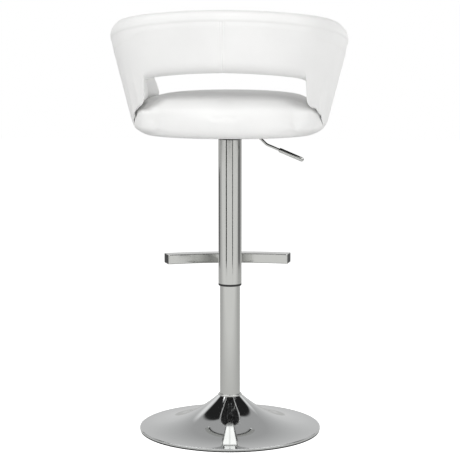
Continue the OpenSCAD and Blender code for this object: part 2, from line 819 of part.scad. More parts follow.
module tee_nuts() {
    color(steel)
    difference() {
        union() {
            plate_holes(tee_r, board_top - 12, 12 - tee_flange_t);
            plate_holes(tee_flange_r, board_top - tee_flange_t, tee_flange_t);
        }
        plate_holes(bolt_r + weld_gap, board_z, board_t + 1);
    }
}

// ---- seat ----
function board_outline(inset) =
    [for (t = [0:6:354]) let (r = seat_outline(t, inset)) [r * sin(t), -r * cos(t)]];

module dust_cover() {
    color(black)
    difference() {
        translate([0, 0, cover_z + 0.02]) linear_extrude(cover_t - 0.04)
            polygon(board_outline(board_margin + 1));
        plate_holes(bolt_r + 0.4, cover_z - 1, cover_t + 2);
    }
}

module seat_board() {
    color(ply)
    difference() {
        translate([0, 0, board_z]) linear_extrude(board_t) polygon(board_outline(board_margin));
        plate_holes(tee_r + weld_gap, board_z - 1, board_t + 2);
        plate_holes(tee_flange_r + weld_gap, board_top - tee_flange_t - weld_gap, 5);
    }
}

module block_shape(grow) {
    for (side = [-1, 1])
        translate([side * (block_x + block_w / 2) - block_w / 2 - grow,
                   block_y - block_len / 2 - grow, board_top])
        cube([block_w + 2 * grow, block_len + 2 * grow, block_h + grow]);
}

module back_bolt_place() {
    tilt = atan(side_flare);
    for (side = [0, 1], y = back_bolt_rows) mirror([side, 0, 0])
        let (t = atan2(back_half, -y))
        translate([0, y, back_bolt_z])
        translate([sqrt(pow(back_outer(t, back_bolt_z), 2) - y * y)
                   - core_face(t, back_bolt_z), 0, 0])
        rotate([0, 90 + tilt, 0])
        children();
}

module side_blocks() {
    color(ply)
    difference() {
        intersection() {
            block_shape(0);
            translate([0, 0, board_top]) linear_extrude(block_h + 1) polygon(board_outline(block_in));
        }
        back_bolt_place() translate([0, 0, -bolt_reach])
            cylinder(r = back_bolt_r + weld_gap, h = bolt_reach + 10);
    }
}

module seat_cushion() {
    turn = [for (t = [0:6:354]) t];
    inset = board_margin - skin_gap;
    hem = 5;
    levels = concat([for (i = [0:5]) seat_rim_z + (seat_mid_z - seat_rim_z) * i / 6],
                    [for (a = [0, 0.3, 0.5, 0.66, 0.79, 0.89, 0.955, 0.99])
                     mix(seat_mid_z, seat_top_z, a)]);
    rings = concat(
        [for (z = [board_top + skin_gap, seat_rim_z + 1.5])
         [for (t = turn) polar(t, seat_outline(t, inset), z)]],
        [[for (t = turn) polar(t, seat_outline(t, inset - hem), seat_rim_z)]],
        [for (z = levels) if (z > seat_rim_z) [for (t = turn) polar(t, seat_plan(t, z), z)]]);
    color(white)
    difference() {
        ring_loft(rings, [0, 0, board_top + skin_gap], [0, 0, seat_top_z]);
        translate([0, 0, -0.01]) block_shape(skin_gap);
    }
}

module back_bolts() {
    color(steel)
    back_bolt_place() {
        translate([0, 0, -back_bolt_seat - back_bolt_len]) cylinder(r = back_bolt_r, h = back_bolt_len + 0.5);
        translate([0, 0, -back_bolt_seat]) cylinder(r = back_bolt_head_r, h = back_bolt_head_t);
    }
}

// ---- back ----
// Heights at which a section changes direction: beside the seat, over its edge, and above
function section_heights(lo, hi) =
    let (low = seat_edge_low, high = min(seat_edge_high, mix(low, hi, 0.7)))
    lo < low - 10 && hi > low + 4
        ? [lo, mix(lo, low, 0.5), low, high, mix(high, hi, 0.5), hi]
        : [for (k = [0:5]) mix(lo, hi, k / 5)];

function core_heights(t) =
    section_heights(back_bottom(t) + core_inset, back_top(t) - core_inset);

module back_shell() {
    sections = [for (t = both_ways(core_steps))
                let (z = core_heights(t))
                concat([for (k = [0:5]) core_point(t, false, 0, z[k])],
                       [for (k = [5:-1:0]) core_point(t, true, 0, z[k])])];
    color(ply)
    difference() {
        ladder_loft(sections);
        back_bolt_place() {
            translate([0, 0, -bolt_reach]) cylinder(r = back_bolt_r + weld_gap, h = 2 * bolt_reach);
            translate([0, 0, -back_bolt_seat - weld_gap])
                cylinder(r = back_bolt_head_r + weld_gap, h = core_t + 4);
        }
    }
}

pocket_inset = core_inset - edge_room;

// Where the padding's lower edge is: at its middle over the slot, close to the seat under the arms
function hem_share(t) = mix(core_mid, hem_in, smooth((abs(t) - slot_end + 2) / 6));
function hem_arc(m, a) = m * (1 - cos(a));

// One half of the padding: outward from the plywood, or inward
function pad_section(t, inward) =
    let (lo = pad_bottom(t), hi = pad_top(t), e = end_round(t),
         pocket = abs(t) <= core_end + 0.1,
         foot = min(pad_foot_h, (hi - lo) / 2.2), edge = min(back_edge_h, (hi - lo) / 2.2),
         face_z = section_heights(lo + foot, hi - edge),
         plo = lo + (pocket ? pocket_inset : 0.15 * (hi - lo)),
         phi = hi - (pocket ? pocket_inset : 0.15 * (hi - lo)),
         face = inward ? 1 : 0, away = face - core_mid,
         gap = inward ? skin_gap / 2 : -skin_gap / 2,
         m = hem_share(t), from = acos(1 - core_mid / m),
         tight = (m - core_mid) / (hem_in - core_mid),
         seam_z = lo + foot * (1 - sin(from)),
         old = [for (a = [78, 52, 26, 0]) [core_mid + away * cos(a), lo + foot * (1 - sin(a))]],
         hem = inward ? [[m, lo], [1, lo + foot * hem_turn], [1, lo + foot / 2], [1, lo + foot]]
                      : [for (a = [0.87, 0.58, 0.29, 0] * from) [hem_arc(m, a), lo + foot * (1 - sin(a))]],
         outer = concat(
             [for (i = [0:3])
              let (p = inward ? mix(old[i], hem[i], tight) : hem[i])
              back_point(t, core_mid + e * (p[0] - core_mid), 0, p[1])],
             [for (k = [1:4]) back_point(t, core_mid + away * e, 0, face_z[k])],
             [for (a = [0, 26, 52, 78])
              back_point(t, core_mid + away * e * cos(a), 0, hi - edge * (1 - sin(a)))]),
         wall_z = concat([plo, plo], pocket ? core_heights(t)
                                            : section_heights(mix(plo, phi, 0.04), mix(plo, phi, 0.96)),
                         [phi, phi]),
         wall = [for (k = [0:9])
                 let (z = wall_z[k], edge = k < 1 || k > 8)
                 pocket && !edge ? core_point(t, inward, 2 * gap, z)
                                 : back_point(t, core_mid, gap * (edge ? 1 : 1.2), z)])
    concat(outer, [back_point(t, core_mid, gap, hi)], [for (k = [9:-1:0]) wall[k]],
           [back_point(t, core_mid, gap, seam_z)]);

module back_pad(inward) {
    sections = [for (t = both_ways(back_steps)) pad_section(t, inward)];
    if (inward)
        ladder_loft([for (s = sections) [for (k = [len(s) - 1:-1:0]) s[k]]]);
    else
        ladder_loft(sections);
}

module back_outer_pad() {
    color(white) back_pad(false);
}

module back_inner_pad() {
    color(white)
    difference() {
        back_pad(true);
        back_bolt_place() translate([0, 0, -bolt_reach])
            cylinder(r = back_bolt_r + fit_gap, h = bolt_reach + 10);
    }
}

base_trumpet();
floor_ring();
ballast_disc();
neck_ring();
column_tube();
column_flange();
flange_bolts();
column_foot();
guide_bush();
bearing_lower_washer();
bearing_cage();
bearing_balls();
bearing_upper_washer();
rod_clip();
piston_rod();
rod_buffer();
piston();
gas_cylinder();
rod_seal();
release_pin();
footrest_sleeve();
sleeve_lower_ring();
sleeve_upper_ring();
footrest_stem();
footrest_crossbar();
footrest_end_caps();
mounting_plate();
taper_socket();
lever_bracket();
lever_pin();
lever_tongue();
lever_rod();
lever_grip();
plate_bolts();
tee_nuts();
dust_cover();
seat_board();
side_blocks();
seat_cushion();
back_bolts();
back_shell();
back_outer_pad();
back_inner_pad();
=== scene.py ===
import json
import math
import bmesh
import bpy
import numpy as np
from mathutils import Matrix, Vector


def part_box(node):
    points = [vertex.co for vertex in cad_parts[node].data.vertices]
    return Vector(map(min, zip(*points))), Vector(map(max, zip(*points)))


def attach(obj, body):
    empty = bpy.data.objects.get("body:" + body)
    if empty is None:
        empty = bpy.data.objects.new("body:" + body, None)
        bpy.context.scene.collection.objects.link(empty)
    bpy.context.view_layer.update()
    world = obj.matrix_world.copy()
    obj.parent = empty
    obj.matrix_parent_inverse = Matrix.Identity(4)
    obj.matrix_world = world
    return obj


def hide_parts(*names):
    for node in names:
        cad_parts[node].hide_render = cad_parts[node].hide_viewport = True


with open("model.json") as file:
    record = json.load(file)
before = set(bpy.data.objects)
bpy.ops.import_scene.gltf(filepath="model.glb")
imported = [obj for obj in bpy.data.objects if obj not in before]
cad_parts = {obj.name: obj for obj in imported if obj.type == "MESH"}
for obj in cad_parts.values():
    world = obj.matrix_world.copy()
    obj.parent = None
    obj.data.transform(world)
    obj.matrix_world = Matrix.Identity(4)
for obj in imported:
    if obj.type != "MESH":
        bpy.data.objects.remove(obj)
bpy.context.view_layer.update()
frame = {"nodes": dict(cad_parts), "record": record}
nodes = frame["nodes"]
world = bpy.context.scene.world or bpy.data.worlds.new("studio")
bpy.context.scene.world = world
bpy.context.scene.view_settings.view_transform = "Standard"
print("stool: frame loaded")

cameraSet = dict(azimuth=4.1, pitch=7.81, distance=3.908, height=1.0375, lens=125.2)


def makeCamera(c):
    a = math.radians(c["azimuth"])
    data = bpy.data.cameras.new("stoolCamera")
    data.lens, data.sensor_width = c["lens"], 36.0
    data.clip_start, data.clip_end = 0.1, 60.0
    camera = bpy.data.objects.new("stoolCamera", data)
    camera.location = (c["distance"] * math.sin(a), -c["distance"] * math.cos(a), c["height"])
    camera.rotation_euler = (math.radians(90 - c["pitch"]), 0, a)
    bpy.context.scene.collection.objects.link(camera)
    bpy.context.scene.camera = camera


makeCamera(cameraSet)


def newTree(name):
    mat = bpy.data.materials.new(name)
    mat.use_nodes = True
    tree = mat.node_tree
    tree.nodes.clear()
    out = tree.nodes.new("ShaderNodeOutputMaterial")
    shader = tree.nodes.new("ShaderNodeBsdfPrincipled")
    tree.links.new(shader.outputs[0], out.inputs["Surface"])
    where = tree.nodes.new("ShaderNodeTexCoord")
    return mat, tree, shader, where.outputs["Object"]


def addNode(tree, kind, inputs=None, **settings):
    node = tree.nodes.new("ShaderNode" + kind)
    for key, value in settings.items():
        setattr(node, key, value)
    for key, value in (inputs or {}).items():
        if isinstance(value, bpy.types.NodeSocket):
            tree.links.new(value, node.inputs[key])
        else:
            node.inputs[key].default_value = value
    return node


def stretched(tree, where, scale):
    return addNode(tree, "Mapping", {"Vector": where, "Scale": scale}).outputs[0]


def noise(tree, where, scale, detail=3.0, rough=0.5):
    return addNode(tree, "TexNoise", {"Vector": where, "Scale": scale, "Detail": detail,
                                      "Roughness": rough}).outputs["Fac"]


def spread(tree, value, low, high):
    return addNode(tree, "MapRange", {"Value": value, "From Min": 0.3, "From Max": 0.7,
                                      "To Min": low, "To Max": high}).outputs[0]


def between(tree, value, first, second):
    ramp = addNode(tree, "ValToRGB", {"Fac": value})
    ramp.color_ramp.elements[0].position, ramp.color_ramp.elements[1].position = 0.3, 0.7
    ramp.color_ramp.elements[0].color = (*first, 1)
    ramp.color_ramp.elements[1].color = (*second, 1)
    return ramp.outputs[0]


def bumped(tree, shader, height, strength, distance):
    node = addNode(tree, "Bump", {"Height": height, "Strength": strength, "Distance": distance})
    tree.links.new(node.outputs[0], shader.inputs["Normal"])


finishes = dict(
    chrome=dict(tint=(0.70, 0.705, 0.69), rough=0.055, smudge=0.05),
    baseChrome=dict(tint=(0.69, 0.70, 0.70), rough=0.05, smudge=0.03),
    leatherette=dict(light=(0.86, 0.86, 0.852), dark=(0.82, 0.82, 0.812), rough=0.46, grain=1500),
)


# Polished plate: mirror metal whose roughness drifts a little in broad smudges
def chromeFinish(name, f):
    mat, tree, shader, where = newTree(name)
    shader.inputs["Metallic"].default_value = 1.0
    tree.links.new(between(tree, noise(tree, where, 9), tuple(v * 0.975 for v in f["tint"]), f["tint"]),
                   shader.inputs["Base Color"])
    tree.links.new(spread(tree, noise(tree, where, 23, 4), f["rough"], f["rough"] + f["smudge"]),
                   shader.inputs["Roughness"])
    bumped(tree, shader, noise(tree, where, 60, 2), 0.02, 0.001)
    return mat


# Coated fabric: fine pebbled grain from Voronoi cells over soft, slow undulation
def leatheretteFinish(name, f):
    mat, tree, shader, where = newTree(name)
    tree.links.new(between(tree, noise(tree, where, 7, 4), f["dark"], f["light"]),
                   shader.inputs["Base Color"])
    cells = addNode(tree, "TexVoronoi", {"Vector": where, "Scale": f["grain"] / 2.2},
                    feature="DISTANCE_TO_EDGE")
    grain = addNode(tree, "Math", {0: cells.outputs["Distance"], 1: 0.25}, operation="MINIMUM")
    slow = addNode(tree, "Math", {0: noise(tree, where, 38, 3), 1: 2.4}, operation="MULTIPLY")
    both = addNode(tree, "Math", {0: grain.outputs[0], 1: slow.outputs[0]}, operation="ADD")
    bumped(tree, shader, both.outputs[0], 0.32, 0.0004)
    tree.links.new(spread(tree, noise(tree, where, 30, 5), f["rough"] - 0.04, f["rough"] + 0.05),
                   shader.inputs["Roughness"])
    shader.inputs["Specular IOR Level"].default_value = 0.4
    return mat


# Any plain solid stuff: two near tones, roughness drift and a fine surface
def plainFinish(name, low, high, rough, grain=300, metal=0.0, bump=0.1, scale=(1, 1, 1)):
    mat, tree, shader, where = newTree(name)
    place = stretched(tree, where, scale)
    shader.inputs["Metallic"].default_value = metal
    tree.links.new(between(tree, noise(tree, place, grain / 6, 3), low, high), shader.inputs["Base Color"])
    tree.links.new(spread(tree, noise(tree, place, grain / 10, 3), rough - 0.05, rough + 0.05),
                   shader.inputs["Roughness"])
    bumped(tree, shader, noise(tree, place, grain, 3), bump, 0.0005)
    return mat


# Woven cloth: two crossed sine waves lift the threads
def clothFinish(name, low, high, pitch):
    mat, tree, shader, where = newTree(name)
    waves = [addNode(tree, "TexWave", {"Vector": where, "Scale": 1 / pitch / 3.0, "Distortion": 0.3},
                     bands_direction=way).outputs["Fac"] for way in ("X", "Y")]
    both = addNode(tree, "Math", {0: waves[0], 1: waves[1]}, operation="MULTIPLY").outputs[0]
    tree.links.new(between(tree, both, low, high), shader.inputs["Base Color"])
    shader.inputs["Roughness"].default_value = 0.9
    bumped(tree, shader, both, 0.4, 0.0003)
    return mat


chrome = chromeFinish("polishedChrome", finishes["chrome"])
baseChrome = chromeFinish("spunChrome", finishes["baseChrome"])
whiteCover = leatheretteFinish("whiteLeatherette", finishes["leatherette"])
threadFinish = plainFinish("whiteThread", (0.80, 0.80, 0.79), (0.88, 0.88, 0.87), 0.6, 2600, 0, 0.3)
steelFinish = plainFinish("brushedSteel", (0.50, 0.51, 0.52), (0.60, 0.61, 0.62), 0.32, 700, 1.0, 0.15,
                          (1, 1, 8))
blackPaint = plainFinish("blackPowderCoat", (0.018, 0.018, 0.019), (0.03, 0.03, 0.031), 0.5, 900, 0, 0.35)
blackPlastic = plainFinish("blackNylon", (0.016, 0.016, 0.017), (0.028, 0.028, 0.029), 0.42, 800, 0, 0.15)
blackRubber = plainFinish("blackRubber", (0.014, 0.014, 0.014), (0.024, 0.024, 0.024), 0.75, 500, 0, 0.3)
brassFinish = plainFinish("cageBrass", (0.62, 0.46, 0.20), (0.72, 0.56, 0.27), 0.3, 500, 1.0, 0.1)
birchPly = plainFinish("birchPly", (0.56, 0.40, 0.23), (0.70, 0.54, 0.34), 0.6, 260, 0, 0.2, (1, 7, 24))
dustCloth = clothFinish("blackDustCloth", (0.012, 0.012, 0.012), (0.05, 0.05, 0.05), 0.0012)
slotFinish = dict(chrome=chrome, steel=steelFinish, black_steel=blackPaint, black_plastic=blackPlastic,
                  rubber=blackRubber, cage_brass=brassFinish, ply=birchPly, upholstery=whiteCover,
                  dust_cloth=dustCloth)
slotOf = {s["node"]: s["material_slot"] for s in frame["record"]["subparts"]}
for name, node in nodes.items():
    node.data.materials.clear()
    node.data.materials.append(slotFinish[slotOf[name]])
print("stool: finishes made")


def newMesh(name, points, faces):
    mesh = bpy.data.meshes.new(name)
    faces = faces.tolist() if hasattr(faces, "tolist") else faces
    mesh.from_pydata(points.reshape(-1, 3).tolist(), [], faces)
    return mesh


def newPiece(name, points, faces, finish, body, swaps=(), smooth=True):
    mesh = newMesh(name, points, faces)
    mesh.polygons.foreach_set("use_smooth", np.full(len(mesh.polygons), smooth))
    mesh.materials.append(finish)
    mesh.validate()
    mesh.update()
    piece = bpy.data.objects.new(name, mesh)
    bpy.context.scene.collection.objects.link(piece)
    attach(piece, body)
    if swaps:
        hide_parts(*swaps)
    return piece


# Quads between neighbouring rows and columns of a rows x cols grid, closed round either way
def gridFaces(rows, cols, roundRows=False, roundCols=False):
    i, j = np.meshgrid(np.arange(rows if roundRows else rows - 1),
                       np.arange(cols if roundCols else cols - 1), indexing="ij")
    i2, j2 = (i + 1) % rows, (j + 1) % cols
    return np.stack([i * cols + j, i2 * cols + j, i2 * cols + j2, i * cols + j2], -1).reshape(-1, 4)


# A closed outline with each corner turned on a small radius and a support point beside each turn
def eased(outline, radius, steps=4, support=0.25):
    pts = np.array(outline, float)
    out = []
    for k in range(len(pts)):
        a, b, c = pts[k - 1], pts[k], pts[(k + 1) % len(pts)]
        p, q = (a - b), (c - b)
        lp, lq = np.linalg.norm(p), np.linalg.norm(q)
        p, q = p / lp, q / lq
        half = math.acos(np.clip(p @ q, -1, 1)) / 2
        if half > math.radians(86):
            out.append(b[None])
            continue
        r = radius if np.isscalar(radius) else radius[k]
        cut = min(r / math.tan(half), lp * 0.45, lq * 0.45)
        r = cut * math.tan(half)
        m = (p + q) / np.linalg.norm(p + q)
        centre = b + m * r / math.sin(half)
        w = np.linspace(0, 1, steps + 1)[:, None]
        arc = (b + p * cut - centre) * (1 - w) + (b + q * cut - centre) * w
        arc = centre + arc / np.linalg.norm(arc, axis=1)[:, None] * r
        lead = min(cut * support, lp * 0.04)
        out += [(b + p * (cut + lead))[None], arc, (b + q * (cut + min(cut * support, lq * 0.04)))[None]]
    return np.concatenate(out)


# Revolve: a closed outline of radius and height is turned about the axis, x = r sin t, y = -r cos t
def revolve(outline, count):
    t = np.linspace(0, 2 * math.pi, count, endpoint=False)[:, None]
    r, z = outline[None, :, 0], outline[None, :, 1]
    points = np.stack([r * np.sin(t), -r * np.cos(t), z + 0 * t], -1)
    faces = gridFaces(count, outline.shape[0], True, True)
    following = np.roll(outline, -1, 0)
    area = 0.5 * np.sum(outline[:, 0] * following[:, 1] - following[:, 0] * outline[:, 1])
    return points, faces if area > 0 else faces[:, ::-1]


# Sweep: a closed section is carried along a path, standing on the path's normal and side directions
def sweep(path, section, side, closed=False):
    tangent = np.gradient(path, axis=0)
    tangent /= np.linalg.norm(tangent, axis=1)[:, None]
    across = np.broadcast_to(np.array(side, float), path.shape)
    across = across - np.sum(across * tangent, axis=1)[:, None] * tangent
    across /= np.linalg.norm(across, axis=1)[:, None]
    up = np.cross(across, tangent)
    points = (path[:, None] + section[None, :, :1] * across[:, None] + section[None, :, 1:] * up[:, None])
    faces = gridFaces(len(path), len(section), closed, True)[:, ::-1].tolist()
    n, m = len(path), len(section)
    if not closed:
        faces += [list(range(m - 1, -1, -1))[::-1], [(n - 1) * m + k for k in range(m)][::-1]]
    return points, faces


def turned(points, angle):
    c, s = math.cos(angle), math.sin(angle)
    return points @ np.array([[c, s, 0], [-s, c, 0], [0, 0, 1]])


def outward(piece):
    work = bmesh.new()
    work.from_mesh(piece.data)
    bmesh.ops.recalc_face_normals(work, faces=work.faces)
    work.to_mesh(piece.data)
    work.free()
    return piece


baseShape = dict(radius=0.225, neckRadius=0.0295, neckHeight=0.087, rimHeight=0.008, wall=0.0018,
                 floorRing=0.003, lip=0.0012, power=2.2)


# Trumpet: height = rim + (neck - rim) * ((R - r) / (R - neck radius)) ** power
def makeBase(b):
    run = b["radius"] - b["neckRadius"]
    r = b["radius"] - 0.0006 - (run - 0.0006) * (1 - (1 - np.linspace(0, 1, 120)) ** 1.7)
    rise = b["neckHeight"] - b["rimHeight"]
    z = b["rimHeight"] + rise * ((b["radius"] - r) / run) ** b["power"]
    slope = np.arctan(b["power"] * rise / run * ((b["radius"] - r) / run) ** (b["power"] - 1))
    top = np.stack([r, z], 1)
    under = np.stack([r - b["wall"] * np.sin(slope), z - b["wall"] * np.cos(slope)], 1)[::-1]
    under[:, 1] = np.maximum(under[:, 1], b["rimHeight"] - b["wall"])
    inner = b["radius"] - b["wall"]
    under = under[under[:, 0] < inner - 0.0004]
    a = np.radians(np.array([0, 18, 36, 54, 72]))
    turn = b["lip"]
    lip = np.stack([b["radius"] - turn + turn * np.cos(a), b["rimHeight"] - turn + turn * np.sin(a)], 1)
    foot = np.array([[inner, b["floorRing"]], [b["radius"] - 0.0006, b["floorRing"]],
                     [b["radius"], b["floorRing"] + 0.0006], [b["radius"], b["floorRing"] + 0.0009]])
    outline = np.concatenate([foot, lip, top, under, [[inner, b["rimHeight"] - b["wall"]]]])
    points, faces = revolve(outline, 288)
    newPiece("baseShell", points, faces, baseChrome, "base", ["base_trumpet"])


makeBase(baseShape)


# Round pieces: each outline is read from its CAD node's own box, then eased at its corners
def makeRing(name, swap, body, finish, inner, ease, count=128):
    low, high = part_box(swap)
    outer = (high[0] - low[0]) / 2
    outline = [[inner, low[2]], [outer, low[2]], [outer, high[2]], [inner, high[2]]]
    points, faces = revolve(eased(outline, ease), count)
    return newPiece(name, points, faces, finish, body, [swap])


ringSet = dict(columnInner=0.023, neckInner=0.02505, sleeveInner=0.02725)
makeRing("columnTube", "column_tube", "base", chrome, ringSet["columnInner"], 0.0006, 160)
makeRing("neckCollar", "neck_ring", "base", chrome, ringSet["neckInner"], 0.0022, 160)
makeRing("upperSleeve", "footrest_sleeve", "seat", chrome, ringSet["sleeveInner"], 0.0005, 160)
print("stool: base and column made")


footrestSet = dict(width=0.316, reach=0.195, height=0.025, depth=0.038, middle=0.404, bow=0.54,
                   turn=6.0, wall=0.0015, corner=0.0022, stemWidth=0.034, stemStart=0.0265)


# Crossbar: a rounded rectangle swept along an arc of radius bow about a point on the centre line
def makeFootrest(f):
    half = math.asin(f["width"] / 2 / f["bow"])
    a = np.linspace(-half, half, 61)
    centre = f["reach"] - f["bow"]
    path = np.stack([f["bow"] * np.sin(a), centre + f["bow"] * np.cos(a), 0 * a + f["middle"]], 1)
    w, h = f["depth"] / 2, f["height"] / 2
    section = eased([[-h, -w], [h, -w], [h, w], [-h, w]], f["corner"], 5)
    points, faces = sweep(path, section, (0, 0, 1))
    faces = faces[:-2]
    inner = eased([[-h + f["wall"], -w + f["wall"]], [h - f["wall"], -w + f["wall"]],
                   [h - f["wall"], w - f["wall"]], [-h + f["wall"], w - f["wall"]]], f["corner"] * 0.5, 5)
    hollow, _ = sweep(path, inner, (0, 0, 1))
    m, n = len(section), points.shape[0] * len(section)
    flip = (gridFaces(len(path), m, False, True) + n).tolist()
    k = np.arange(m)
    ends = [np.stack([s + k, s + (k + 1) % m, s + n + (k + 1) % m, s + n + k], 1) for s in (0, n - m)]
    every = faces + flip + ends[0].tolist() + ends[1][:, ::-1].tolist()
    both = turned(np.concatenate([points.reshape(-1, 3), hollow.reshape(-1, 3)]), math.radians(f["turn"]))
    bar = newPiece("footrestBar", both, every, chrome, "seat", ["footrest_crossbar"])
    outward(bar)
    far = f["bow"] - f["depth"] / 2 + centre - 0.0003
    path = np.stack([np.zeros(12), np.linspace(f["stemStart"], far, 12), np.full(12, f["middle"])], 1)
    w = f["stemWidth"] / 2
    section = eased([[-h, -w], [h, -w], [h, w], [-h, w]], f["corner"], 5)
    points, faces = sweep(path, section, (0, 0, 1))
    stem = newPiece("footrestArm", turned(points.reshape(-1, 3), math.radians(f["turn"])), faces, chrome,
                    "seat", ["footrest_stem"])
    outward(stem)


makeFootrest(footrestSet)
print("stool: footrest made")


leverSet = dict(pivotZ=0.7323, start=0.03005, run=0.070, dropX=0.090, dropZ=0.019,
                slope=22.7, bend=0.014, rod=0.00325, grip=0.0055, gripLength=0.065, tip=0.006)


# Rod: a circle swept along straight runs joined by arcs; grip: a revolved outline laid along the rod
def makeLever(v):
    s = math.radians(v["slope"])
    end = np.array([v["dropX"] + v["gripLength"] * 1.42 * math.cos(s),
                    v["pivotZ"] - v["dropZ"] - v["gripLength"] * 1.42 * math.sin(s)])
    corners = [np.array([v["start"], v["pivotZ"]]), np.array([v["run"], v["pivotZ"]]),
               np.array([v["dropX"], v["pivotZ"] - v["dropZ"]]), end]
    line = [corners[0][None]]
    for a, b, c in zip(corners, corners[1:], corners[2:]):
        p, q = (a - b) / np.linalg.norm(a - b), (c - b) / np.linalg.norm(c - b)
        half = math.acos(p @ q) / 2
        cut = v["bend"] / math.tan(half)
        middle = b + (p + q) / np.linalg.norm(p + q) * v["bend"] / math.sin(half)
        w = np.linspace(0, 1, 13)[:, None]
        arc = (b + p * cut - middle) * (1 - w) + (b + q * cut - middle) * w
        line.append(middle + arc / np.linalg.norm(arc, axis=1)[:, None] * v["bend"])
    line.append(end[None])
    flat = np.concatenate(line)
    path = np.stack([flat[:, 0], 0 * flat[:, 0], flat[:, 1]], 1)
    a = np.linspace(0, 2 * math.pi, 32, endpoint=False)
    section = np.stack([v["rod"] * np.cos(a), v["rod"] * np.sin(a)], 1)
    points, faces = sweep(path, section, (0, 1, 0))
    outward(newPiece("leverRod", points, faces, chrome, "lever", ["lever_rod"]))
    back, g = v["tip"] - v["gripLength"], v["grip"]
    turn = np.radians(np.linspace(0, 90, 10))
    outline = np.concatenate([[[v["rod"], back]], [[g - 0.0011, back]], [[g - 0.0003, back + 0.0003]],
                              [[g, back + 0.0012]], [[g, back + 0.002]], [[g, -0.001]],
                              np.stack([g * np.cos(turn), v["tip"] * np.sin(turn)], 1)[:-1],
                              [[0.0002, v["tip"]]], [[0.0002, 0.0004]], [[v["rod"], 0.0002]]])
    points, faces = revolve(outline, 40)
    points = points.reshape(-1, 3)
    along, up = np.array([math.cos(s), 0, -math.sin(s)]), np.array([math.sin(s), 0, math.cos(s)])
    placed = (np.array([end[0], 0, end[1]]) + points[:, 2:] * along + points[:, :1] * up
              + points[:, 1:2] * np.array([0, 1, 0]))
    outward(newPiece("leverGrip", placed, faces, chrome, "lever", ["lever_grip"]))


makeLever(leverSet)
print("stool: lever made")


seatShape = dict(side=0.222, front=0.234, power=2.25, top=0.840, middle=0.778, rim=0.740,
                 edgePower=3.5, tuck=0.014, hem=0.005, board=0.022, boardTop=0.762,
                 swell=0.015, swellTop=0.832, swellFrom=44, swellTo=96, crown=0.0035)
backShape = dict(half=0.245, rear=0.236, front=0.268, level=0.790, sideFlare=0.255, rearFlare=0.16,
                 power=2.13, top=1.041, sideDrop=0.060, frontDrop=0.064, thick=0.050, edge=0.026,
                 slotTop=0.893, slotDrop=0.0200, slotEnd=47.0, armEnd=128.0, armFoot=0.744,
                 armRoot=0.816, foot=0.026, share=0.35, tuck=0.016, tuckHeight=0.031, clear=0.0009,
                 endTurn=13.0, endHeight=0.7912, core=0.008, hemShare=1.0, hemTurn=0.15, press=0.0028,
                 slotRound=0.013, roundTurn=9, lap=0.30, overlap=0.011, cornerFoot=0.012,
                 cornerEnd=88, cornerFade=16, touch=0.836, touchFade=0.012, edgeShare=2.2)


def smooth(x):
    c = np.clip(x, 0, 1)
    return c * c * (3 - 2 * c)


def mix(a, b, s):
    return a + (b - a) * s


# Superellipse radius at t degrees from the rear: (|sin t / a|^n + |cos t / b|^n) ^ (-1 / n)
def planRadius(t, a, b, n):
    t = np.radians(t)
    return ((np.abs(np.sin(t)) / a) ** n + (np.abs(np.cos(t)) / b) ** n) ** (-1 / n)


def seatOutline(t, inset):
    q = seatShape
    b = np.where(np.cos(np.radians(t)) > 0, q["side"], q["front"])
    return planRadius(t, q["side"] - inset, b - inset, q["power"])


# Seat radius at a height: a superellipse shoulder above the middle, a cubic tuck below it
def seatPlan(t, z):
    q = seatShape
    full = seatOutline(t, 0)
    rise = np.clip((z - q["middle"]) / (q["top"] - q["middle"]), 0, 1)
    fall = np.clip((q["middle"] - z) / (q["middle"] - q["rim"]), 0, 1)
    return full * (1 - rise ** q["edgePower"]) ** (1 / q["edgePower"]) - q["tuck"] * fall ** 3


def backOuter(t, z):
    q = backShape
    h = z - q["level"]
    under = np.maximum(0, q["armFoot"] + q["tuckHeight"] - z) / q["tuckHeight"]
    b = np.where(np.cos(np.radians(t)) > 0, q["rear"] + q["rearFlare"] * h, q["front"] + q["sideFlare"] * h)
    return planRadius(t, q["half"] + q["sideFlare"] * h, b, q["power"]) - q["tuck"] * under ** 2.7


def backTop(t):
    q = backShape
    return (q["top"] - q["sideDrop"] * (np.abs(t) / 90) ** 2
            - q["frontDrop"] * (np.maximum(0, np.abs(t) - 90) / 40) ** 2)


def backBottom(t):
    q = backShape
    corner = np.clip((np.abs(t) - q["slotEnd"]) / q["roundTurn"] + 1, 0, 1)
    slot = (q["slotTop"] - q["slotDrop"] * (t / q["slotEnd"]) ** 2
            - q["slotRound"] * (1 - np.sqrt(np.maximum(0, 1 - corner * corner))))
    arm = mix(q["armRoot"], q["armFoot"], smooth((np.abs(t) - q["slotEnd"] - 2) / 36))
    return mix(slot, arm, smooth((np.abs(t) - q["slotEnd"] + 3) / 5))


def backDepth(t, z):
    q = backShape
    beside = backOuter(t, z) - q["clear"] - seatPlan(t, np.minimum(z, seatShape["middle"]))
    return mix(beside, q["thick"], smooth((z - seatShape["top"] + 0.026) / 0.022))


def endRound(t):
    e = np.maximum(0, np.abs(t) - backShape["armEnd"] + backShape["endTurn"]) / backShape["endTurn"]
    return np.maximum(0.015, np.sqrt(np.maximum(0, 1 - e * e)))


# Back surface: t degrees round, f the share of the thickness inwards, z the height
def backPoint(t, f, z):
    inner = np.sign(t) * np.where(np.abs(t) < 100, 17 * np.sin(np.radians(np.abs(t) * 1.8)) ** 2, 0)
    u = t + inner * f
    r = backOuter(u, z) - f * backDepth(u, z)
    return np.stack([r * np.sin(np.radians(u)), -r * np.cos(np.radians(u)), z], -1)


